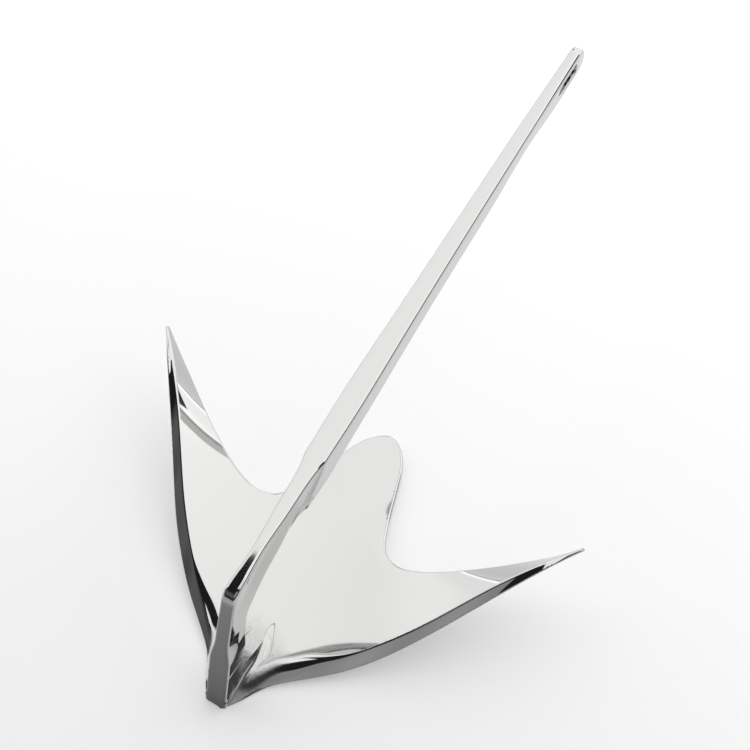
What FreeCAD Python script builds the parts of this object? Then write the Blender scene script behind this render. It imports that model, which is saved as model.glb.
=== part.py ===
# Claw anchor: one stainless steel casting, a dished three-lobed claw with a bent arm and a shackle slot.
# Millimetres. It stands as it rests on a floor, +X towards the shackle end and +Z up, and y = 0 is its plane
# of symmetry. It is drawn from the back of the heel, and moved at the end so that the origin is on the
# ground under the middle of its length.
import FreeCAD, Part
import math
import os

Vector = FreeCAD.Vector

# Claw
SPAN = 400.0                # wing tip to wing tip
FLOOR_HEIGHT = 10.5         # upper surface along the middle of the claw, above the ground
BELLY_HEIGHT = 7.6          # the same at the tongue, which rests on the ground
BELLY_X = 247.0             # where the tongue touches the ground
BELLY_RUN = 97.0            # length over which the upper surface sinks to the belly
KEEL_LIFT = 2.0             # how far the underside arches clear of the ground behind the belly
TONGUE_TIP = 275.0          # end of the tongue
TONGUE_LIFT = 1.6           # how far the tongue's tip curls off the ground
RIDGE_THICKNESS = 9.3       # the plate under its ridge, measured straight down
TIP_THICKNESS = 11.4        # the same before the wing tips, where the blade stands steeply
THICKEN_X = (150.0, 220.0)  # where the plate under the ridge thickens towards the tips
TAPER_X = (215.0, 240.0)    # where it then thins to the tips
TIP_TAPER = 4.4             # and by how much
RIM_LIP = 1.0               # upright edge left between the rear bevel and the undercut
UNDERCUT_DROP = 4.0         # how far the undercut has passed below the plate's underside under the ridge
TIP_BLUNT = 1.2             # how far the wing tip's end bulges

# Rear rim of one side, as distance from the middle in shares of half the span, x and height of the low
# edge, x and height of the ridge, and the power by which the dish turns up there. The heel's stations lie
# on the level middle of the claw, the wing's shape the dish.
HEEL_RIM = [
    (0.0, -14.0, -2.5, 24.0, 10.5, 2.0),
    (0.0475, -0.5, 0.8, 31.0, 10.6, 2.0),
    (0.085, 8.0, 3.2, 37.0, 10.7, 2.0),
    (0.125, 20.5, 6.2, 43.0, 10.9, 2.0),
    (0.190, 34.0, 9.7, 51.5, 11.6, 2.0),
]
WING_RIM = [
    (0.260, 45.6, 11.2, 63.0, 13.1, 2.0),
    (0.350, 62.0, 12.2, 77.8, 16.6, 2.0),
    (0.450, 83.0, 16.0, 97.4, 23.2, 2.0),
    (0.550, 107.3, 25.1, 120.8, 33.3, 2.0),
    (0.650, 134.7, 37.1, 147.5, 45.8, 2.0),
    (0.750, 163.2, 51.1, 175.3, 58.8, 2.15),
    (0.850, 190.9, 66.2, 201.5, 70.2, 3.4),
    (0.925, 211.5, 75.2, 219.1, 76.8, 4.8),
    (0.990, 229.6, 80.0, 232.8, 80.8, 5.5),
    (1.060, 249.0, 84.0, 251.0, 84.2, 5.8),
]
# The dish beyond the rim's ends: share of half the span, x, ridge height and power
DISH_ENDS = [(0.23, 0.0, 11.6, 2.0), (1.19, 300.0, 88.0, 6.0)]
TIP_SHARE = 0.99            # the wing tip's end station

# Plan of the front rim of one side, wing tip to tongue: x and the share of half the span
FRONT = [
    (235.4, 0.992), (224.0, 0.9), (211.5, 0.8), (198.3, 0.7), (186.1, 0.6), (175.5, 0.5),
    (169.3, 0.415), (167.6, 0.355), (170.4, 0.3), (178.2, 0.254), (192.0, 0.22), (215.0, 0.18),
    (238.0, 0.144), (255.5, 0.11), (267.5, 0.066),
]

# Arm in side view, as x and z
REAR_FOOT = (-2.6, 5.0)
REAR_MIDDLE = (12.6, 75.0)
ELBOW = (32.9, 146.9)       # the bend's corner, before it is rounded
ELBOW_ROUND = 15.0
TOP_END = (562.8, 221.6)    # where the shank's top line meets the round of the eye
TOP_BULGE = 5.66            # rise of the top line's arch over a straight line
# Shank's depth, eye to neck: share of the way along the top line from the elbow, and depth square to it
SHANK_DEPTH = [
    (0.848, 19.25), (0.749, 22.64), (0.580, 24.54), (0.423, 25.64), (0.316, 26.7), (0.272, 29.4),
    (0.239, 32.6), (0.212, 32.5), (0.186, 30.6), (0.159, 30.6),
]
NECK_FRONT = [(104.0, 119.5), (88.0, 112.0), (72.0, 103.0), (55.0, 89.5), (43.5, 77.0), (36.5, 63.0),
              (33.0, 48.0), (32.0, 34.0), (32.0, 8.0)]
# Half the arm's width, at shares of the top end's x
ARM_WIDTH = [(0.275, 9.35), (0.364, 10.05), (0.462, 9.15), (0.611, 7.7), (0.766, 6.7), (0.928, 5.7), (1.048, 4.9)]
EDGE_BREAK = 0.9            # width taken off along the arm's edges above its foot
WEB_WIDTH = 12.5            # arm's width between the foot of the neck and the shank
CREASE = [(119.0, 124.0), (155.0, 170.0)]   # ends of the slanting crease where the web meets the shank
WEB_FALL = 9.3              # length over which the side falls from the crease to the web
DIMPLE = (68.0, 140.0)      # middle of the further hollow in each side of the elbow
DIMPLE_SIZE = (30.0, 14.0)  # half its length and height
DIMPLE_LEAN = 30.0          # its slope in degrees
DIMPLE_DEPTH = 2.4
EYE_DEPTH = 25.0            # height of the eye at the shackle end
EYE_LENGTH = 40.0           # straight part of the eye's lower side
SLOT_LENGTH = 32.0
SLOT_HEIGHT = 12.0
SLOT_WALL = 14.0            # metal beyond the slot

# Foot of the neck
FOOT_WIDTH = 18.5
FOOT_TOP = 90.0             # height at which the web begins to widen to the foot
FOOT_BLEND = 30.0           # height over which it does
HEEL_WIDTH = 20.0
HEEL_LENGTH = 34.0
HEEL_SOLE = 17.0            # flat length that stands on the ground
HEEL_RISE = 3.0             # how far the heel's underside rises from there to its front
HEEL_TOP = 8.0
HEEL_BACK = [(-1.4, 10.0), (-2.2, 5.0), (0.3, 0.0)]
ROOT_RISE = 14.0            # height over which the neck flares onto the dish
ROOT_FRONT = [(31.6, 42.0), (33.5, 32.0), (39.0, 22.5), (51.0, 14.5), (72.0, 10.0)]
TOE_WIDTH = 6.0             # the root's width where it runs out forward
INSET = 0.3                 # how far a form that is blended into the neck starts inside its sides
# x, height of the dish's surface beside the neck, and how far the root spreads there
ROOT_FLARE = [(-20.0, 0.4, 0.2), (0.0, 0.9, 0.8), (8.0, 3.2, 5.0), (16.0, 5.6, 8.0), (24.0, 8.0, 8.0),
              (36.0, 10.0, 8.0), (50.0, 10.8, 8.0), (72.0, 10.8, 4.0), (90.0, 10.8, 2.0)]


def ease(value):
    value = min(max(value, 0.0), 1.0)
    return value * value * (3 - 2 * value)


def side_view(points):
    return [Vector(x, 0, z) for x, z in points]


def spline(points, **options):
    curve = Part.BSplineCurve()
    curve.interpolate(Points=points, **options)
    return curve


def graph(xs, values):
    # A smooth function of x through the values, level beyond both ends
    curve = spline([Vector(x, value, 0) for x, value in zip(xs, values)], Parameters=list(xs))
    return lambda x: curve.value(min(max(x, xs[0]), xs[-1])).y


def sheet(points):
    patch = Part.BSplineSurface()
    patch.interpolate(points)
    return patch.toShape()


def mirrored(shape):
    return shape.mirror(Vector(0, 0, 0), Vector(0, 1, 0))


def opposite(points):
    return [Vector(p.x, -p.y, p.z) for p in points]


def slab(edges, width):
    # The outline in side view, as a plate of this width about the plane of symmetry
    face = Part.Face(Part.Wire(edges))
    face.translate(Vector(0, -width / 2, 0))
    return face.extrude(Vector(0, width, 0))


# Dish: level along the middle, turned up to the ridge by a power of the distance from the middle
half = SPAN / 2
dish_x = [DISH_ENDS[0][1]] + [row[3] for row in WING_RIM] + [DISH_ENDS[1][1]]
reach = graph(dish_x, [half * row[0] for row in [DISH_ENDS[0]] + WING_RIM + [DISH_ENDS[1]]])
ridge = graph(dish_x, [DISH_ENDS[0][2]] + [row[4] for row in WING_RIM] + [DISH_ENDS[1][2]])
power = graph(dish_x, [DISH_ENDS[0][3]] + [row[5] for row in WING_RIM] + [DISH_ENDS[1][3]])


def middle(x):
    return FLOOR_HEIGHT + (BELLY_HEIGHT - FLOOR_HEIGHT) * ease((x - BELLY_X) / BELLY_RUN + 0.9)


def dish(x, y):
    return middle(x) + (ridge(x) - middle(x)) * (abs(y) / reach(x)) ** power(x)


def keel(x):
    if x > BELLY_X:
        return TONGUE_LIFT * ((x - BELLY_X) / (TONGUE_TIP - BELLY_X)) ** 2
    return KEEL_LIFT * math.sin(math.pi * max(x, 0.0) / BELLY_X) ** 0.7


def underside(x, y):
    centre = middle(x) - keel(x)
    thicker = ease((x - THICKEN_X[0]) / (THICKEN_X[1] - THICKEN_X[0]))
    thinner = ease((x - TAPER_X[0]) / (TAPER_X[1] - TAPER_X[0]))
    edge = RIDGE_THICKNESS + (TIP_THICKNESS - RIDGE_THICKNESS) * thicker - TIP_TAPER * thinner
    return dish(x, y) - centre - (edge - centre) * (y / reach(x)) ** 2


grid_x = [-20.0 + 16.0 * i for i in range(21)]
grid_y = [1.08 * half * (i / 12.0 - 1) for i in range(25)]
above = sheet([[Vector(x, y, dish(x, y)) for y in grid_y] for x in grid_x]).extrude(Vector(0, 0, half))
below = sheet([[Vector(x, y, underside(x, y)) for y in grid_y] for x in grid_x]).extrude(Vector(0, 0, -half))

# Plan of the claw: front rim, blunt tips, low rear edges and the back of the heel
rim = HEEL_RIM + WING_RIM
front = [Vector(x, share * half, 0) for x, share in FRONT]
low = [Vector(row[1], row[0] * half, 0) for row in rim[1:] if row[0] <= TIP_SHARE]
low[0] = Vector(low[0].x, HEEL_WIDTH / 2, 0)
crest = Vector((low[-1].x + front[0].x) / 2 + TIP_BLUNT, half, 0)
tip = [low[-1], crest, front[0]]
edges = [spline(front + [Vector(TONGUE_TIP, 0, 0)] + opposite(front[::-1])).toShape(),
         Part.makeLine(low[0], opposite(low)[0]), spline(low).toShape(), spline(opposite(low)).toShape(),
         Part.Arc(*tip).toShape(), Part.Arc(*opposite(tip)).toShape()]
plan = Part.Face(Part.Wire(Part.__sortEdges__(edges)))
plan.translate(Vector(0, 0, -half / 10))
claw = plan.extrude(Vector(0, 0, half)).cut(above).cut(below)


def ruled(starts, stops):
    # A ruled sheet through pairs of points, drawn out beyond both ends
    steps = [(b - a).normalize() for a, b in zip(starts, stops)]
    outer = spline([a - s * 12 for a, s in zip(starts, steps)]).toShape()
    inner = spline([b + s * 14 for b, s in zip(stops, steps)]).toShape()
    return Part.makeRuledSurface(outer, inner)


lows = [Vector(row[1], row[0] * half, row[2]) for row in rim]
highs = [Vector(row[3], row[0] * half, row[4]) for row in rim]
lips = [Vector(p.x, p.y, p.z - RIM_LIP) for p in lows]
feet = [Vector(p.x, p.y, underside(p.x, p.y) - UNDERCUT_DROP) for p in highs]
bevel = ruled(lows, highs).extrude(Vector(0, 0, half))
undercut = ruled(lips, feet).extrude(Vector(0, 0, -half))
for cutter in (bevel, undercut):
    claw = claw.cut(cutter).cut(mirrored(cutter))

# Arm: its side view, as wide as its plan, with the eye's round tangent to the top line
start, end = side_view([ELBOW, TOP_END])
chord = (end - start).normalize()
arch = (start + end) / 2 + Vector(-chord.z, 0, chord.x) * TOP_BULGE
top_line = Part.Arc(start, arch, end)


def top_at(share):
    # The point at a share of the top line, and the direction there
    at = top_line.FirstParameter + share * (top_line.LastParameter - top_line.FirstParameter)
    return top_line.value(at), top_line.tangent(at)[0]


ahead = top_at(1)[1]
upward = Vector(-ahead.z, 0, ahead.x)
eye_radius = EYE_DEPTH / 2
eye = end - upward * eye_radius
eye_bottom = eye - upward * eye_radius
eye_start = eye_bottom - ahead * EYE_LENGTH
shank = [point + Vector(along.z, 0, -along.x) * depth
         for (point, along), depth in [(top_at(share), depth) for share, depth in SHANK_DEPTH]]
under = spline([eye_start] + shank + side_view(NECK_FRONT), InitialTangent=ahead * -30, FinalTangent=Vector(0, 0, -10))
rear = spline(side_view([REAR_FOOT, REAR_MIDDLE, ELBOW]))
sole = Part.makePolygon(side_view([NECK_FRONT[-1], (NECK_FRONT[-1][0], REAR_FOOT[1]), REAR_FOOT]))
arm = slab([rear.toShape(), top_line.toShape(), Part.Arc(end, eye + ahead * eye_radius, eye_bottom).toShape(),
            Part.makeLine(eye_bottom, eye_start), under.toShape()] + sole.Edges, 3 * FOOT_WIDTH)
corner = [e for e in arm.Edges if (e.CenterOfMass - start).Length < 0.1]
arm = arm.makeFillet(ELBOW_ROUND, corner)
widths = [(-0.036, FOOT_WIDTH / 2), (0.107, FOOT_WIDTH / 2)] + ARM_WIDTH
left = [Vector(share * TOP_END[0], width, -half / 20) for share, width in widths]
caps = [Part.makeLine(p, opposite([p])[0]) for p in (left[0], left[-1])]
outline = Part.Wire(Part.__sortEdges__([spline(left).toShape(), spline(opposite(left)).toShape()] + caps))
arm = arm.common(Part.Face(outline).extrude(Vector(0, 0, 2 * TOP_END[1])))


# Sides of the neck: behind a slanting crease they fall in to the web, with a dimple inside the elbow,
# and come out again to the wider foot
def neck_side(x, z):
    (low_x, low_z), (high_x, high_z) = CREASE
    crease = low_x + (high_x - low_x) * ease((z - low_z) / (high_z - low_z))
    behind = max((crease - x) / WEB_FALL, -1.3)
    foot = ease((FOOT_TOP - z) / FOOT_BLEND)
    c, s = math.cos(math.radians(DIMPLE_LEAN)), math.sin(math.radians(DIMPLE_LEAN))
    x, z = x - DIMPLE[0], z - DIMPLE[1]
    dimple = DIMPLE_DEPTH * math.exp(-((x * c + z * s) / DIMPLE_SIZE[0]) ** 2 - ((z * c - x * s) / DIMPLE_SIZE[1]) ** 2)
    full = FOOT_WIDTH / 2 + INSET
    return full - ((full - WEB_WIDTH / 2) * (1 - math.exp(-behind)) + dimple) * (1 - foot)


scoop = sheet([[Vector(x, neck_side(x, z), z) for z in range(42, 200, 7)] for x in range(-14, 195, 7)])
scoop = scoop.extrude(Vector(0, half, 0))
arm = arm.cut(scoop).cut(mirrored(scoop))

slot_middle = eye - ahead * (SLOT_WALL + SLOT_LENGTH / 2 - eye_radius)
run = ahead * ((SLOT_LENGTH - SLOT_HEIGHT) / 2)
lift = upward * (SLOT_HEIGHT / 2)
nose = ahead * (SLOT_HEIGHT / 2)
front_end, rear_end = slot_middle + run, slot_middle - run
slot = [Part.makeLine(rear_end + lift, front_end + lift),
        Part.Arc(front_end + lift, front_end + nose, front_end - lift).toShape(),
        Part.makeLine(front_end - lift, rear_end - lift),
        Part.Arc(rear_end - lift, rear_end - nose, rear_end + lift).toShape()]
arm = arm.cut(slab(slot, 3 * FOOT_WIDTH))
broken = []
for edge in arm.Edges:
    box = edge.BoundBox
    lengthwise = edge.Length > SLOT_HEIGHT and box.YLength < WEB_WIDTH / 2 and box.XLength > EDGE_BREAK
    on_neck = box.XMax < ELBOW[0] + ELBOW_ROUND and box.ZMin > FOOT_TOP - FOOT_BLEND and box.ZLength > EDGE_BREAK
    on_shank = box.ZMin > CREASE[0][1] and (box.XMin < DIMPLE[0] or box.XMax > 2 * CREASE[0][0])
    if lengthwise and (on_neck or on_shank):
        broken.append(edge)
arm = arm.makeChamfer(EDGE_BREAK, broken)

# Root: the neck's foot flares onto the dish and forward along it
flare_x = [row[0] for row in ROOT_FLARE]
floor_near, spread = graph(flare_x, [row[1] for row in ROOT_FLARE]), graph(flare_x, [row[2] for row in ROOT_FLARE])
root_top, root_toe = ROOT_FRONT[0], ROOT_FRONT[-1]


def root_side(x, z):
    taper = (FOOT_WIDTH - TOE_WIDTH) / 2 * ease((x - root_top[0]) / (root_toe[0] - root_top[0]))
    level = min(max((z - floor_near(x)) / ROOT_RISE, -0.2), 1.0)
    return FOOT_WIDTH / 2 - INSET - taper + spread(x) * (1 - level) ** 4


slope = (REAR_MIDDLE[0] - REAR_FOOT[0]) / (REAR_MIDDLE[1] - REAR_FOOT[1])
root_back = [(REAR_FOOT[0] + INSET, REAR_FOOT[1]),
             (REAR_FOOT[0] + INSET + slope * (root_top[1] - REAR_FOOT[1]), root_top[1])]
back_edges = Part.makePolygon(side_view([root_toe, (root_toe[0], REAR_FOOT[1])] + root_back + [root_top])).Edges
root = slab([spline(side_view(ROOT_FRONT)).toShape()] + back_edges, 3 * FOOT_WIDTH)
flare = sheet([[Vector(x, root_side(x, z), z) for z in range(-3, 50, 3)] for x in range(-24, 90, 6)])
flare = flare.extrude(Vector(0, half, 0))
root = root.cut(flare).cut(mirrored(flare))

# Heel: the squared foot that stands on the ground
heel_line = [(HEEL_SOLE, 0.0), (HEEL_LENGTH, HEEL_RISE), (HEEL_LENGTH, HEEL_TOP)] + HEEL_BACK
heel = slab(Part.makePolygon(side_view(heel_line + [heel_line[0]])).Edges, HEEL_WIDTH)

body = claw.fuse([arm, root, heel])
body.translate(Vector(-(REAR_FOOT[0] + eye.x + eye_radius) / 2, 0, 0))
os.makedirs("parts", exist_ok=True)
body.exportStep("parts/claw_anchor.step")
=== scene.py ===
import bpy
import numpy as np
from mathutils import Matrix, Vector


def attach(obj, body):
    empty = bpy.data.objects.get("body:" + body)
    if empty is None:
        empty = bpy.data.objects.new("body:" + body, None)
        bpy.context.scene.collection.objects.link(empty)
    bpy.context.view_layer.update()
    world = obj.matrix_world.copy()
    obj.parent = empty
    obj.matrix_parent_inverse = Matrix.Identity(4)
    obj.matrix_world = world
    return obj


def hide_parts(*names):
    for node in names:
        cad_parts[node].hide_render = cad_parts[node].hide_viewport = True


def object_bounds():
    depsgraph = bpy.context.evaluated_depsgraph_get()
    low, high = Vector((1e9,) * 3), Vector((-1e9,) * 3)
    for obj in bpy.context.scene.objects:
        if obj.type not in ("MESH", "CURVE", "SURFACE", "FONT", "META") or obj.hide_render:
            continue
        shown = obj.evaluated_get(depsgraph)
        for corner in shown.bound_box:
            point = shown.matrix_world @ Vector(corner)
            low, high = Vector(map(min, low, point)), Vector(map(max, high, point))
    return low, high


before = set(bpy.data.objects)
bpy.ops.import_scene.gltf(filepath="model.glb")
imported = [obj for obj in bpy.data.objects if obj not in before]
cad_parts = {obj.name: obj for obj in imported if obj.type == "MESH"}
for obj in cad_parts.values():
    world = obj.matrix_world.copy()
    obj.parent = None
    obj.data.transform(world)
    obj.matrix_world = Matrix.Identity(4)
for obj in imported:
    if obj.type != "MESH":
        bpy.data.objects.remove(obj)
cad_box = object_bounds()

# Casting: claw, bent arm and shackle eye are one stainless steel casting, ground and then polished
# to a mirror. The claw is a dished plate, the arm stands on it in a flared root, and every edge
# is rounded by the polishing. Sizes are in millimetres up to the point where the mesh is made.

# Claw: x runs ahead from the back of the heel, y out along a wing, and z up from the ground. Its
# middle sinks from claw level to belly level, with a keel under it that ends in the lifted tongue
half_span = 200.0
claw_level, belly_level, belly_x = 10.5, 7.6, 247.0
sink_from, sink_run = 160.0, 97.0
tongue_tip, tongue_lift, keel_lift, keel_fullness = 275.0, 1.6, 2.0, 0.7
plate_at_ridge, plate_at_tip, thicken_from, thicken_run = 9.3, 11.4, 150.0, 70.0
tip_taper, taper_from, taper_run = 4.4, 215.0, 25.0
rim_lip, undercut_drop = 1.6, 4.0
rim_rounding, ridge_rounding, tip_rounding, lip_rounding = 2.2, 2.4, 2.2, 0.8
front_rim_depth, front_rim_fade = 14.0, 8.0
# Beside the heel the ridge is much softer, fading ahead of it and out along the wing
heel_ridge_rounding, soft_ahead, soft_ahead_fade, soft_out, soft_out_fade = 40.0, 6.0, 24.0, 18.0, 70.0
# Rear rim, middle to wing tip: share of half the span, low edge x and z, ridge x and z, dish power
rear_rim = np.array([
    (0.0, -14.0, -1.0, 24.0, 10.5, 2.0), (0.0475, 0.0, 1.6, 20.0, 10.6, 2.0),
    (0.085, 9.2, 2.0, 27.0, 10.7, 2.0), (0.125, 23.4, 2.4, 38.5, 10.9, 2.0),
    (0.190, 38.0, 4.2, 50.5, 11.6, 2.0), (0.260, 49.6, 5.8, 63.0, 13.1, 2.0),
    (0.350, 64.6, 8.6, 77.8, 16.6, 2.0), (0.450, 84.2, 14.4, 97.4, 23.2, 2.0),
    (0.550, 107.3, 25.1, 120.8, 33.3, 2.0), (0.650, 134.7, 37.1, 147.5, 45.8, 2.0),
    (0.750, 163.2, 51.1, 175.3, 58.8, 2.15), (0.850, 190.9, 66.2, 201.5, 70.2, 3.4),
    (0.925, 211.5, 75.2, 219.1, 76.8, 4.8), (0.990, 229.6, 80.0, 232.8, 80.8, 5.5),
    (1.060, 249.0, 84.0, 251.0, 84.2, 5.8)])
# Front rim, wing tip to tongue: x and share of half the span
front_rim = [
    (235.4, 0.992), (224.0, 0.9), (211.5, 0.8), (198.3, 0.7), (186.1, 0.6), (175.5, 0.5),
    (169.3, 0.415), (167.6, 0.355), (170.4, 0.3), (178.2, 0.254), (192.0, 0.22), (215.0, 0.18),
    (238.0, 0.144), (255.5, 0.11), (267.5, 0.066)]


def through(pairs):
    # Smooth function through pairs of numbers, level beyond both ends
    xs, ys = np.array(pairs, float).T
    gap = np.diff(xs)
    rise = np.diff(ys) / gap
    count = len(xs)
    rows, force = np.eye(count), np.zeros(count)
    for i in range(1, count - 1):
        rows[i, i - 1:i + 2] = gap[i - 1], 2 * (gap[i - 1] + gap[i]), gap[i]
        force[i] = 6 * (rise[i] - rise[i - 1])
    bend = np.linalg.solve(rows, force)

    def value(x):
        x = np.clip(x, xs[0], xs[-1])
        i = np.clip(np.searchsorted(xs, x) - 1, 0, count - 2)
        t = x - xs[i]
        start = rise[i] - gap[i] * (2 * bend[i] + bend[i + 1]) / 6
        return ys[i] + t * (start + t * (bend[i] / 2 + t * (bend[i + 1] - bend[i]) / (6 * gap[i])))
    return value


def ease(t):
    # From 0 to 1 as t does, gently at both ends
    t = np.clip(t, 0, 1)
    return t * t * (3 - 2 * t)


span_at, low_x, low_z, high_x, high_z, power = rear_rim.T
span_at = span_at * half_span
# How far out the ridge is at each x, how high it is there, and how late the dish climbs to it
reach = through([(0, 46)] + list(zip(high_x[5:], span_at[5:])) + [(300, 238)])
ridge_height = through([(0, 11.6)] + list(zip(high_x[5:], high_z[5:])) + [(300, 88)])
dish_power = through([(0, 2)] + list(zip(high_x[5:], power[5:])) + [(300, 6)])


def middle(x):
    return claw_level + (belly_level - claw_level) * ease((x - sink_from) / sink_run)


def dish(x, y):
    return middle(x) + (ridge_height(x) - middle(x)) * (np.abs(y) / reach(x)) ** dish_power(x)


def keel(x):
    ahead = np.clip((x - belly_x) / (tongue_tip - belly_x), 0, None)
    behind = np.clip(x / belly_x, 0, 1)
    swell = keel_lift * np.sin(np.pi * behind) ** keel_fullness
    return np.where(x > belly_x, tongue_lift * ahead ** 2, swell)


def underside(x, y):
    centre = middle(x) - keel(x)
    thicker = (plate_at_tip - plate_at_ridge) * ease((x - thicken_from) / thicken_run)
    thinner = tip_taper * ease((x - taper_from) / taper_run)
    edge = plate_at_ridge + thicker - thinner
    return dish(x, y) - centre - (edge - centre) * (y / reach(x)) ** 2


rim_low_x, rim_low_z = through(list(zip(span_at, low_x))), through(list(zip(span_at, low_z)))
rim_high_x, rim_high_z = through(list(zip(span_at, high_x))), through(list(zip(span_at, high_z)))
heel_edge = through([(10, -0.5)] + list(zip(span_at[2:], low_x[2:])))
front_half = [(share * half_span, x) for x, share in front_rim[::-1]]
front_edge = through([(-y, x) for y, x in front_half[::-1]] + [(0, tongue_tip)] + front_half)
lip_height = through(list(zip(span_at, low_z - rim_lip)))
foot_height = through(list(zip(span_at, underside(high_x, span_at) - undercut_drop)))


def up_bevel(x, y):
    return (x - rim_low_x(y)) / (rim_high_x(y) - rim_low_x(y))


def bevel(x, y):
    return rim_low_z(y) + up_bevel(x, y) * (rim_high_z(y) - rim_low_z(y))


def undercut(x, y):
    return lip_height(y) + up_bevel(x, y) * (foot_height(y) - lip_height(y))


# A face is held as the distance of each point outside it and the direction out of it
def sloped(curve, p, up, over, out):
    # The face up = curve(over...), with the metal below it where out is 1 and above it where out is -1
    step = 0.2
    axes = [p[:, k] for k in over]
    here = curve(*axes)
    normal = np.zeros_like(p)
    normal[:, up] = 1
    for k in range(len(over)):
        before, after = list(axes), list(axes)
        before[k], after[k] = axes[k] - step, axes[k] + step
        normal[:, over[k]] = -(curve(*after) - curve(*before)) / (2 * step)
    length = np.sqrt((normal ** 2).sum(1))
    return out * (p[:, up] - here) / length, out * normal / length[:, None]


def flat(p, point, direction):
    direction = np.array(direction, float)
    direction /= np.linalg.norm(direction)
    return (p - np.array(point)) @ direction, np.tile(direction, (len(p), 1))


def meet(one, other, radius=0.0):
    # Metal within both faces, with the edge between them rounded to a radius
    (a, na), (b, nb) = one, other
    value = np.maximum(a, b)
    normal = np.where((a > b)[:, None], na, nb)
    # The turn is 1 where the faces run on, and -1 where they fold back: a knife edge. A sharp corner
    # takes a smaller radius, and a knife edge none
    turn = (na * nb).sum(1)
    knife, full_radius_after, almost_flat = -0.92, 0.6, 0.9999
    radius = radius * ease((turn - knife) / full_radius_after)
    c = np.clip(turn, knife - 0.01, almost_flat)
    u, v = a + radius, b + radius
    alpha, beta = (u - c * v) / (1 - c * c), (v - c * u) / (1 - c * c)
    length = np.sqrt(np.maximum(alpha ** 2 + beta ** 2 + 2 * alpha * beta * c, 1e-12))
    rounded = (alpha > 0) & (beta > 0) & (turn > knife)
    value = np.where(rounded, length - radius, value)
    turned = (alpha[:, None] * na + beta[:, None] * nb) / length[:, None]
    return value, np.where(rounded[:, None], turned, normal)


def join(one, other, radius=0.0):
    # Metal of both bodies, with a fillet between them
    value, normal = meet((-one[0], -one[1]), (-other[0], -other[1]), radius)
    return -value, -normal


def claw(p):
    beside_rim = 1 - ease((p[:, 0] - rim_high_x(p[:, 1]) - soft_ahead) / soft_ahead_fade)
    by_heel = 1 - ease((p[:, 1] - soft_out) / soft_out_fade)
    ridge = ridge_rounding + heel_ridge_rounding * beside_rim * by_heel
    upper = meet(sloped(dish, p, 2, (0, 1), 1), sloped(bevel, p, 2, (0, 1), 1), ridge)
    lower = meet(sloped(underside, p, 2, (0, 1), -1), sloped(undercut, p, 2, (0, 1), -1), lip_rounding)
    tip = flat(p, (0, half_span, 0), (0, 1, 0))
    front = meet(sloped(front_edge, p, 0, (1,), 1), tip, tip_rounding)
    rear = sloped(heel_edge, p, 0, (1,), -1)
    at_front = ease((front[0] + front_rim_depth) / front_rim_fade)
    rounding = lip_rounding + (rim_rounding - lip_rounding) * at_front
    plate = meet(meet(upper, front, rim_rounding), lower, rounding)
    return meet(plate, rear, lip_rounding)


# Arm in side view: its top is one arc from the elbow to the shackle end
elbow, top_middle, top_end = (32.9, 146.9), (311.0, 191.8), (562.8, 221.6)
elbow_rounding, arm_rounding, side_blend = 15.0, 2.8, 4.0
wider_rounding, wider_from, wider_run = 1.8, 480.0, 80.0
squarer_end, squarer_from, squarer_run = 3.2, 562.0, 14.0
eye_depth, slot_length, slot_height, slot_wall, slot_rounding = 25.0, 32.0, 12.0, 14.0, 1.2
neck_rear = through([(-40, -12.4), (5, -2.6), (75, 12.6), (146.9, 32.9), (200, 49)])
(ax, az), (bx, bz), (cx, cz) = elbow, top_middle, top_end
top_centre = np.linalg.solve(
    [[bx - ax, bz - az], [cx - bx, cz - bz]],
    [(bx * bx - ax * ax + bz * bz - az * az) / 2, (cx * cx - bx * bx + cz * cz - bz * bz) / 2])
top_radius = np.hypot(*(top_centre - elbow))
upward = (np.array(top_end) - top_centre) / top_radius
ahead = np.array([upward[1], -upward[0]])
eye = np.array(top_end) - upward * eye_depth / 2
eye_bottom = eye - upward * eye_depth / 2


def leaning(x, z):
    # Places along and above a line that rises at 45 degrees
    return (x + z) / 2 ** 0.5, (z - x) / 2 ** 0.5


# Front of the neck, round the throat, underside of the shank, and straight under the eye
under_points = [
    (32.0, -20.0), (32.0, 8.0), (32.0, 34.0), (33.0, 48.0), (36.5, 63.0), (43.5, 77.0), (55.0, 89.5),
    (72.0, 103.0), (88.0, 112.0), (104.0, 119.5), (122.0, 131.6), (136.0, 134.0), (150.0, 134.4),
    (164.0, 136.6), (181.0, 142.6), (204.0, 149.0), (260.0, 158.6), (343.0, 171.4), (432.0, 184.6),
    (484.0, 194.0)] + [tuple(eye_bottom + ahead * run) for run in (-40, -20, 0, 40)]
under_line = through([leaning(x, z) for x, z in under_points])
# Half the shank's width along its length
arm_plan = through([
    (-20, 9.25), (60, 9.25), (155, 9.35), (205, 10.05), (260, 9.15), (344, 7.7), (431, 6.7), (522, 5.7),
    (590, 4.9)])

# Sides of the neck: narrowed behind a crease, with a dimple by the elbow and a slope into the throat
foot_width, web_width, side_proud, foot_top, foot_fade = 18.5, 12.5, 0.1, 90.0, 30.0
crease_low_x, crease_lean, crease_from, crease_run = 119.0, 36.0, 124.0, 46.0
hollow_slope, hollow_run, swell_ahead = 0.75, 7.0, 9.0
dimple_depth, dimple_x, dimple_z, dimple_cos, dimple_sin = 2.4, 68.0, 140.0, 0.87, 0.5
dimple_half_length, dimple_half_height = 30.0, 14.0
throat_slope, throat_depth, throat_end, throat_fade = 0.27, 14.0, 150.0, 40.0


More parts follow.
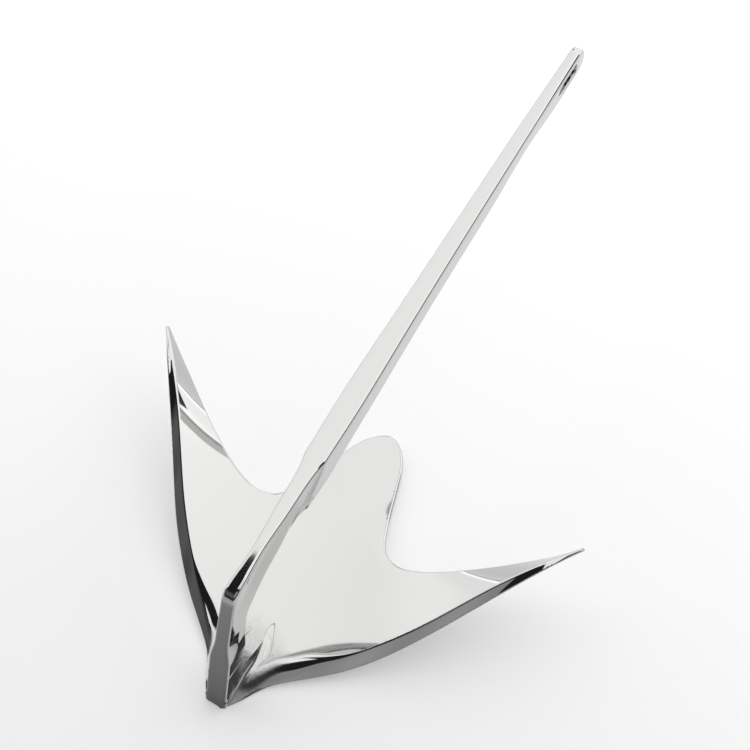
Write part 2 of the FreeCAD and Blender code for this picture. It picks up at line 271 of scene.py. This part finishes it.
def neck_side(x, z):
    crease = crease_low_x + crease_lean * ease((z - crease_from) / crease_run)
    behind = np.maximum((crease - x) * hollow_slope, -swell_ahead)
    foot = ease((foot_top - z) / foot_fade)
    along = (x - dimple_x) * dimple_cos + (z - dimple_z) * dimple_sin
    aside = (z - dimple_z) * dimple_cos - (x - dimple_x) * dimple_sin
    dimple = dimple_depth * np.exp(-(along / dimple_half_length) ** 2 - (aside / dimple_half_height) ** 2)
    full = foot_width / 2 + side_proud
    place, height = leaning(x, z)
    inward = np.clip(throat_depth - (height - under_line(place)), 0, throat_depth)
    front = throat_slope * inward * ease((throat_end - x) / throat_fade)
    hollow = (full - web_width / 2) * (1 - np.exp(-behind / hollow_run))
    return full - (hollow + dimple + front) * (1 - foot)


# Root: its front in side view, the dish's height along its sides, and how far it spreads there. Its
# sides draw in to a nose ahead of the neck
root_front = through([leaning(x, z)[::-1] for x, z in [
    (110.0, 7.0), (72.0, 10.0), (51.0, 14.5), (39.0, 22.5), (33.5, 32.0), (31.6, 42.0), (31.6, 60.0)]])
floor_near = through([
    (-20, 0.4), (0, 0.9), (8, 3.2), (16, 5.6), (24, 8), (36, 10), (50, 10.8), (90, 10.8)])
spread = through([(-20, 0.2), (0, 0.6), (8, 2.5), (16, 4), (50, 4), (72, 2), (90, 1)])
root_inset, root_nose, nose_from, nose_run, root_climb = 0.3, 3.0, 32.0, 40.0, 14.0
root_rounding, root_rear_rounding, root_top = 1.5, 1.0, 42.0


def root_side(x, z):
    taper = (foot_width / 2 - root_nose) * ease((x - nose_from) / nose_run)
    level = np.clip((z - floor_near(x)) / root_climb, 0, 1)
    return foot_width / 2 - root_inset - taper + spread(x) * (1 - level) ** 4


def on_diagonal(curve, p, along, out):
    # A face in side view that runs along the leaning line. The curve gives its height above that line
    # where along is 0, and its place on the line at each height where along is 2
    place, height = leaning(p[:, 0], p[:, 2])
    value, normal = sloped(curve, np.stack([place, p[:, 1], height], 1), 2 - along, (along,), out)
    back_z, back_x = leaning(normal[:, 2], normal[:, 0])
    return value, np.stack([back_x, normal[:, 1], back_z], 1)


def side_direction(x, z):
    # Directions that lie in the side view
    return np.stack([x, 0 * x, z], 1)


# The heel's rear corner, and the plane under which arm and root are cut away for the pad
heel_corner = (-2.2, 0, 5)
cut_point, cut_direction = (0, 0, 0.6), (0.03, 0, -1)


def arm(p):
    from_centre = p[:, [0, 2]] - top_centre
    distance = np.sqrt((from_centre ** 2).sum(1))
    top = distance - top_radius, side_direction(*(from_centre / distance[:, None]).T)
    end_point = eye + ahead * eye_depth / 2
    end = flat(p, (end_point[0], 0, end_point[1]), (ahead[0], 0, ahead[1]))
    rear = sloped(neck_rear, p, 0, (2,), -1)
    under = on_diagonal(under_line, p, 0, -1)
    sides = meet(sloped(arm_plan, p, 1, (0,), 1), sloped(neck_side, p, 1, (0, 2), 1), side_blend)
    wider = wider_rounding * ease((p[:, 0] - wider_from) / wider_run)
    squarer = squarer_end * ease((p[:, 0] - squarer_from) / squarer_run)
    back = meet(meet(top, rear, elbow_rounding), end, eye_depth / 2)
    belly = meet(under, end, eye_depth / 2)
    body = meet(meet(back, sides, arm_rounding + wider - squarer), meet(belly, sides, arm_rounding))
    slot_middle = eye - ahead * (slot_wall + slot_length / 2 - eye_depth / 2)
    from_slot = p[:, [0, 2]] - slot_middle
    half_run = (slot_length - slot_height) / 2
    from_slot -= np.clip(from_slot @ ahead, -half_run, half_run)[:, None] * ahead
    distance = np.sqrt((from_slot ** 2).sum(1)) + 1e-9
    slot = slot_height / 2 - distance, side_direction(*(-from_slot / distance[:, None]).T)
    return meet(meet(body, slot, slot_rounding), flat(p, cut_point, cut_direction))


def root(p):
    front = on_diagonal(root_front, p, 2, 1)
    sides = sloped(root_side, p, 1, (0, 2), 1)
    rear = flat(p, heel_corner, (-70, 0, 15.2))
    top = flat(p, (0, 0, root_top), (0, 0, 1))
    body = meet(meet(meet(front, sides, root_rounding), rear, root_rear_rounding), top)
    return meet(body, flat(p, cut_point, cut_direction))


# Heel pad on which the anchor rests: each face by a point on it and the direction out of it
heel_width, pad_top, pad_front = 20.0, 9.0, 33.0
sole_rounding, pad_rounding, pad_rear_rounding = 2.0, 1.5, 1.0


def pad(p):
    sole = meet(flat(p, (0, 0, 0), (0, 0, -1)), flat(p, (17, 0, 0), (3, 0, -17)), sole_rounding)
    rear = meet(flat(p, (0.3, 0, 0), (-5, 0, -2.5)), flat(p, heel_corner, (-5, 0, 0.8)), sole_rounding)
    side = flat(p, (0, heel_width / 2, 0), (0, 1, 0))
    top = meet(flat(p, (0, 0, pad_top), (0, 0, 1)), flat(p, (pad_front, 0, 0), (1, 0, 0)))
    return meet(meet(meet(sole, rear, pad_rear_rounding), side, pad_rounding), top)


# Only the claw reaches this far out, and only the arm this high near the middle. The fillet round the
# root on the dish grows from the heel ahead, and a smaller one runs round the pad
claw_from, arm_from = 34.0, 104.0
heel_fillet, root_fillet, fillet_from, fillet_run, pad_fillet = 3.0, 8.0, 14.0, 20.0, 1.0


def casting(points):
    p = points.copy()
    p[:, 1] = np.abs(p[:, 1])
    value, normal = np.empty(len(p)), np.empty_like(p)
    beside = p[:, 1] > claw_from
    above = (p[:, 2] > arm_from) & ~beside
    both = ~(beside | above)
    value[beside], normal[beside] = claw(p[beside])
    value[above], normal[above] = arm(p[above])
    near = p[both]
    fillet = heel_fillet + (root_fillet - heel_fillet) * ease((near[:, 0] - fillet_from) / fillet_run)
    neck = join(arm(near), root(near), heel_fillet)
    value[both], normal[both] = join(join(neck, claw(near), fillet), pad(near), pad_fillet)
    normal[:, 1] *= np.where(points[:, 1] < 0, -1, 1)
    return value, normal


def skin(body, low, high, fine):
    # Four-sided facets over a body: cells are halved where its surface passes, and each keeps one point
    corner = np.array([(i, j, k) for i in (0, 1) for j in (0, 1) for k in (0, 1)])
    step = np.eye(3, dtype=int)
    size = fine * 16
    low = np.array(low, float)
    counts = np.ceil((np.array(high) - low) / size).astype(int)
    cells = np.stack(np.meshgrid(*[np.arange(n) for n in counts], indexing="ij"), -1).reshape(-1, 3)
    while True:
        near_enough = size * 2 + 1
        cells = cells[np.abs(body(low + (cells + 0.5) * size)[0]) < near_enough]
        if size < fine * 1.5:
            break
        cells = (cells[:, None] * 2 + corner[None]).reshape(-1, 3)
        size /= 2
    wide = cells.max(0) + 3

    def number(cell):
        return (cell[..., 0] * wide[1] + cell[..., 1]) * wide[2] + cell[..., 2]

    cells = cells[np.argsort(number(cells))]
    keys, where = np.unique(number(cells[:, None] + corner[None]), return_inverse=True)
    spots = np.stack([keys // (wide[1] * wide[2]), keys // wide[2] % wide[1], keys % wide[2]], 1)
    value = body(low + spots * size)[0][where.reshape(-1, 8)]
    within = value < 0
    crossed = within.any(1) & ~within.all(1)
    cells, value, within = cells[crossed], value[crossed], within[crossed]
    total, weight = np.zeros((len(cells), 3)), np.zeros(len(cells))
    for a in range(8):
        for b in range(a + 1, 8):
            if abs(corner[a] - corner[b]).sum() == 1:
                cut = within[:, a] != within[:, b]
                share = np.where(cut, value[:, a] / np.where(cut, value[:, a] - value[:, b], 1), 0)
                total += cut[:, None] * (corner[a] + share[:, None] * (corner[b] - corner[a]))
                weight += cut
    points = low + (cells + total / weight[:, None]) * size
    own = number(cells)
    facets = []
    for axis in range(3):
        one, two = step[(axis + 1) % 3], step[(axis + 2) % 3]
        end = int(np.flatnonzero((corner == step[axis]).all(1))[0])
        cut = within[:, 0] != within[:, end]
        base = cells[cut]
        wanted = np.stack([number(base - back) for back in (0 * one, one, one + two, two)], 1)
        facet = np.clip(np.searchsorted(own, wanted), 0, len(own) - 1)
        outward = within[cut, 0]
        facets.append(np.where(outward[:, None], facet, facet[:, ::-1]))
    return points, np.concatenate(facets)


def settle(points, rounds):
    # Moves points onto the casting's surface and gives the direction out of it at each
    for _ in range(rounds):
        value, normal = casting(points)
        points = points - normal * np.clip(value, -1, 1)[:, None]
    return points, casting(points)[1]


# The casting is worked out from the back of its heel, and stands with its middle over the origin
to_middle = np.array([cad_box[0][0] - neck_rear(heel_corner[2]) / 1000, 0, 0])


def plain_mesh(name, points, facets):
    mesh = bpy.data.meshes.new(name)
    mesh.vertices.add(len(points))
    mesh.vertices.foreach_set("co", (points / 1000 + to_middle).ravel())
    mesh.loops.add(facets.size)
    mesh.loops.foreach_set("vertex_index", facets.ravel())
    mesh.polygons.add(len(facets))
    mesh.polygons.foreach_set("loop_start", np.arange(0, facets.size, facets.shape[1]))
    mesh.update(calc_edges=True)
    mesh.validate()
    return mesh


# Facets over the whole casting, thinned where it is plain, and then set on its exact surface
facet_size = 0.85
facet_limit = 190000
low_corner, high_corner = (-8, -204, -4), (592, 204, 226)
points, facets = skin(casting, low_corner, high_corner, facet_size)
points = settle(points, 4)[0]
anchor = bpy.data.objects.new("anchor_casting", plain_mesh("anchor_casting", points, facets))
bpy.context.scene.collection.objects.link(anchor)
thin = anchor.modifiers.new("fewer facets", "DECIMATE")
thin.ratio = min(1.0, facet_limit / (2 * len(facets)))
thin.use_collapse_triangulate = True
graph = bpy.context.evaluated_depsgraph_get()
anchor.data = bpy.data.meshes.new_from_object(anchor.evaluated_get(graph))
anchor.modifiers.clear()
place = np.empty(len(anchor.data.vertices) * 3)
anchor.data.vertices.foreach_get("co", place)
points, normals = settle((place.reshape(-1, 3) - to_middle) * 1000, 3)
anchor.data.vertices.foreach_set("co", (points / 1000 + to_middle).ravel())
anchor.data.shade_smooth()
anchor.data.validate()
anchor.data.normals_split_custom_set_from_vertices(normals.tolist())

# The flat back of the neck is left satin, with painted shade darkening its colour, both less so towards
# the elbow
skin_depth, skin_fade, satin_and_shade_top, top_fade = 0.4, 1.8, 136.0, 8.0
brighter_top, elbow_height = 0.25, 140.0
# The mask below sets both the satin roughness and the painted shade on the back of the neck
ahead_of_back = points[:, 0] - neck_rear(np.maximum(points[:, 2], 3))
on_back = 1 - ease((ahead_of_back - skin_depth) / skin_fade)
below_elbow = 1 - ease((points[:, 2] - satin_and_shade_top) / top_fade)
satin_and_painted_shade = on_back * below_elbow * (1 - brighter_top * np.clip(points[:, 2] / elbow_height, 0, 1))
anchor.data.attributes.new("satin_and_painted_shade", "FLOAT", "POINT").data.foreach_set("value", satin_and_painted_shade)


def feed(socket, source):
    # Sets a socket to a value, or links it to another node's output
    if isinstance(source, bpy.types.NodeSocket):
        socket.id_data.links.new(source, socket)
    else:
        socket.default_value = source


def add_node(tree, kind, fed, **settings):
    # A new node, with its settings made and its sockets fed
    node = tree.nodes.new("ShaderNode" + kind)
    for name, value in settings.items():
        setattr(node, name, value)
    for socket, source in fed.items():
        feed(node.inputs[socket], source)
    return node


# The polish: faint waves that the buffing leaves, hairline marks along the arm under a cloudy haze,
# a duller grain down in the root, where the wheel doesn't reach, and the satin back of the neck.
# In the root and on the back of the neck the colour is also darkened as painted shade
# Besides the steel's own colour, the two darker colours are painted shade: one in the root, one on the
# back of the neck
steel_color, root_shade_color = (0.52, 0.52, 0.515, 1), (0.33, 0.33, 0.325, 1)
back_painted_shade_color, satin_roughness = (0.085, 0.085, 0.085, 1), 0.2
wave_height, grain_height = 0.001, 0.0001
root_place, root_near, root_far = (-0.249, 0.0, 0.018), 0.016, 0.044
arm_tilt, hairline_stretch = 0.16, (0.35, 14, 14)
finish_and_shade_tree = bpy.data.node_groups.new("buffed_finish_and_painted_shade", "ShaderNodeTree")
for name, value in [("Wave Size", 16.0), ("Wave Depth", 0.1), ("Hairline Size", 90.0), ("Mirror", 0.035),
                    ("Haze", 0.05), ("Dull Root", 0.3), ("Satin And Painted Shade", 0.0)]:
    socket = finish_and_shade_tree.interface.new_socket(name, in_out="INPUT", socket_type="NodeSocketFloat")
    socket.default_value = value
for name, kind in [("Color", "Color"), ("Roughness", "Float"), ("Normal", "Vector")]:
    finish_and_shade_tree.interface.new_socket(name, in_out="OUTPUT", socket_type="NodeSocket" + kind)
given = finish_and_shade_tree.nodes.new("NodeGroupInput").outputs
result = finish_and_shade_tree.nodes.new("NodeGroupOutput").inputs
place_on = add_node(finish_and_shade_tree, "TexCoord", {}).outputs["Object"]
waves = add_node(finish_and_shade_tree, "TexNoise", {"Vector": place_on, "Scale": given["Wave Size"], "Detail": 1.5})
drawn_out = add_node(finish_and_shade_tree, "Mapping", {
    "Vector": place_on, "Rotation": (0, arm_tilt, 0), "Scale": hairline_stretch})
hairlines = add_node(finish_and_shade_tree, "TexNoise", {
    "Vector": drawn_out.outputs["Vector"], "Scale": given["Hairline Size"], "Detail": 3.0})
cloud = add_node(finish_and_shade_tree, "TexNoise", {"Vector": place_on, "Scale": 7.0, "Detail": 3.0})
grain = add_node(finish_and_shade_tree, "TexNoise", {"Vector": place_on, "Scale": 900.0, "Detail": 4.0})
to_root = add_node(finish_and_shade_tree, "VectorMath", {0: place_on, 1: root_place}, operation="DISTANCE")
in_root = add_node(finish_and_shade_tree, "MapRange", {
    "Value": to_root.outputs["Value"], "From Min": root_near, "From Max": root_far, "To Min": 1.0,
    "To Max": 0.0}, interpolation_type="SMOOTHSTEP")
marks = add_node(finish_and_shade_tree, "Math", {
    0: hairlines.outputs["Fac"], 1: cloud.outputs["Fac"]}, operation="MULTIPLY")
haze = add_node(finish_and_shade_tree, "Math", {
    0: marks.outputs["Value"], 1: given["Haze"], 2: given["Mirror"]}, operation="MULTIPLY_ADD")
root_grain = add_node(finish_and_shade_tree, "Math", {
    0: in_root.outputs["Result"], 1: grain.outputs["Fac"]}, operation="MULTIPLY")
roughness = add_node(finish_and_shade_tree, "Math", {
    0: root_grain.outputs["Value"], 1: given["Dull Root"], 2: haze.outputs["Value"]}, operation="MULTIPLY_ADD")
satin = add_node(finish_and_shade_tree, "Math", {
    0: given["Satin And Painted Shade"], 1: satin_roughness, 2: roughness.outputs["Value"]}, operation="MULTIPLY_ADD")
# Painted shade: the colour is darkened in the root, with the grain, and on the back of the neck
tint = add_node(finish_and_shade_tree, "Mix", {
    "A": steel_color, "B": root_shade_color, "Factor": root_grain.outputs["Value"]}, data_type="RGBA")
darker = add_node(finish_and_shade_tree, "Mix", {
    "A": tint.outputs["Result"], "B": back_painted_shade_color, "Factor": given["Satin And Painted Shade"]}, data_type="RGBA")
wavy = add_node(finish_and_shade_tree, "Bump", {
    "Distance": wave_height, "Strength": given["Wave Depth"], "Height": waves.outputs["Fac"]})
pitted = add_node(finish_and_shade_tree, "Bump", {
    "Distance": grain_height, "Strength": in_root.outputs["Result"], "Height": grain.outputs["Fac"],
    "Normal": wavy.outputs["Normal"]})
feed(result["Color"], darker.outputs["Result"])
feed(result["Roughness"], satin.outputs["Value"])
feed(result["Normal"], pitted.outputs["Normal"])

steel = bpy.data.materials.new("mirror_polished_stainless")
steel.use_nodes = True
shader = steel.node_tree.nodes["Principled BSDF"].inputs
back_mask = add_node(steel.node_tree, "Attribute", {}, attribute_name="satin_and_painted_shade")
finish = add_node(steel.node_tree, "Group", {"Satin And Painted Shade": back_mask.outputs["Fac"]}, node_tree=finish_and_shade_tree)
shader["Metallic"].default_value = 1.0
feed(shader["Base Color"], finish.outputs["Color"])
feed(shader["Roughness"], finish.outputs["Roughness"])
feed(shader["Normal"], finish.outputs["Normal"])
anchor.data.materials.clear()
anchor.data.materials.append(steel)

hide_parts("claw_anchor")
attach(anchor, "root")

# Floor: a plain pale sheet under the anchor, which fills the camera's view. It looks white where it is
# open to the light, to the eye and in the metal alike, and keeps the anchor's soft shadow
half_floor, floor_color, floor_lift = 9, (0.7, 0.7, 0.7, 1), 0.3
floor_mesh = bpy.data.meshes.new("floor")
floor_corners = [(-half_floor, -half_floor, 0), (half_floor, -half_floor, 0), (half_floor, half_floor, 0),
                 (-half_floor, half_floor, 0)]
floor_mesh.from_pydata(floor_corners, [], [(0, 1, 2, 3)])
floor = bpy.data.objects.new("floor", floor_mesh)
bpy.context.scene.collection.objects.link(floor)
paper = bpy.data.materials.new("pale_paper")
paper.use_nodes = True
sheet = paper.node_tree.nodes["Principled BSDF"].inputs
sheet["Base Color"].default_value = floor_color
sheet["Roughness"].default_value = 1.0
sheet["Specular IOR Level"].default_value = 0.0
sheet["Emission Color"].default_value = (1, 1, 1, 1)
path_kind = add_node(paper.node_tree, "LightPath", {}).outputs
seen = add_node(paper.node_tree, "Math", {
    0: path_kind["Is Camera Ray"], 1: path_kind["Is Glossy Ray"]}, operation="MAXIMUM")
seen_at_all = add_node(paper.node_tree, "Math", {
    0: seen.outputs["Value"], 1: path_kind["Is Transmission Ray"]}, operation="MAXIMUM")
lift = add_node(paper.node_tree, "Math", {
    0: seen_at_all.outputs["Value"], 1: floor_lift}, operation="MULTIPLY")
feed(sheet["Emission Strength"], lift.outputs["Value"])
floor_mesh.materials.append(paper)

# Light: a dark room that is pale at the horizon, with soft panels that the steel mirrors: a ceiling
# with a short strip at its near edge, a front wall, a sloping left one and a dim one behind
world = bpy.data.worlds.new("dark_room")
bpy.context.scene.world = world
world.use_nodes = True
direction = add_node(world.node_tree, "TexCoord", {}).outputs["Generated"]
height = add_node(world.node_tree, "SeparateXYZ", {"Vector": direction}).outputs["Z"]
walls = add_node(world.node_tree, "ValToRGB", {"Fac": height})
horizon_to_top = [
    (0.0, 0.85), (0.045, 0.6), (0.09, 0.05), (0.3, 0.05), (0.45, 0.16), (0.56, 0.15), (0.75, 0.02)]
shades = walls.color_ramp.elements
shades.remove(shades[1])
for position, grey in horizon_to_top:
    shade = shades.new(position) if position else shades[0]
    shade.color = (grey, grey, grey, 1)
feed(world.node_tree.nodes["Background"].inputs["Color"], walls.outputs["Color"])

# What the panels shine with, in watts for each square metre
panel_level = 1.23 * np.pi
ceiling, side_reach, side_foot = 1.9, 2.9, 0.12
left_edge, right_edge, far_edge = 1.3, -2.9, 3.4
ceiling_middle, ceiling_width = (left_edge + right_edge) / 2, left_edge - right_edge
side_middle, half_height = (left_edge + side_reach) / 2, (ceiling + side_foot) / 2
side_width = np.hypot(side_reach - left_edge, ceiling - side_foot)
side_turn = -np.arctan2(ceiling - side_foot, side_reach - left_edge)
# Each panel's near and far edges, its middle to the left and up, its width, how far its side is turned
# down, and how it glows at its left and right edges. The front panel stands upright at the far edge
panels = [
    ("ceiling_panel", -0.25, far_edge, ceiling_middle, ceiling, ceiling_width, 0.0, 1.15, 1.4),
    ("inner_panel", -0.45, -0.25, -0.2, ceiling, 0.9, 0.0, 1.25, 1.3),
    ("left_panel", -0.95, far_edge, side_middle, half_height, side_width, side_turn, 1.05, 1.15),
    ("right_rear_panel", -3.2, -1.0, -1.1, ceiling, 2.1, 0.0, 0.3, 0.3),
    ("front_panel", far_edge, far_edge, ceiling_middle, half_height, ceiling_width, 0.0, 1.15, 1.3)]
for name, near, far, middle_y, middle_z, width, turned, left_glow, right_glow in panels:
    upright = near == far
    depth = ceiling - side_foot if upright else far - near
    lamp = bpy.data.lights.new(name, "AREA")
    lamp.shape = "RECTANGLE"
    lamp.size, lamp.size_y = depth, width
    lamp.energy = panel_level * depth * width
    lamp.use_nodes = True
    across_panel = add_node(lamp.node_tree, "TexCoord", {}).outputs["UV"]
    along_width = add_node(lamp.node_tree, "SeparateXYZ", {"Vector": across_panel}).outputs["Y"]
    glow = add_node(lamp.node_tree, "MapRange", {
        "Value": along_width, "To Min": right_glow, "To Max": left_glow})
    feed(lamp.node_tree.nodes["Emission"].inputs["Strength"], glow.outputs["Result"])
    panel = bpy.data.objects.new(name, lamp)
    panel.location = ((near + far) / 2, middle_y, middle_z)
    panel.rotation_euler = (turned, np.pi / 2 if upright else 0, 0)
    panel.visible_camera = False
    bpy.context.scene.collection.objects.link(panel)

# Camera: where the photograph was taken from, behind the anchor, a little to its right and 60 degrees
# above the floor
camera_place, focal_length, sensor_width = (-0.618982, -0.331115, 1.309045), 81.6, 36.0
camera_right, camera_up = (0.514186, -0.85762, 0.010048), (0.74, 0.449528, 0.500325)
camera_back = (-0.433605, -0.249824, 0.86578)
lens = bpy.data.cameras.new("camera")
lens.lens, lens.sensor_width = focal_length, sensor_width
camera = bpy.data.objects.new("camera", lens)
turn = Matrix((camera_right, camera_up, camera_back)).transposed().to_4x4()
camera.matrix_world = Matrix.Translation(camera_place) @ turn
bpy.context.scene.collection.objects.link(camera)
bpy.context.scene.camera = camera
bpy.context.scene.view_settings.view_transform = "Standard"
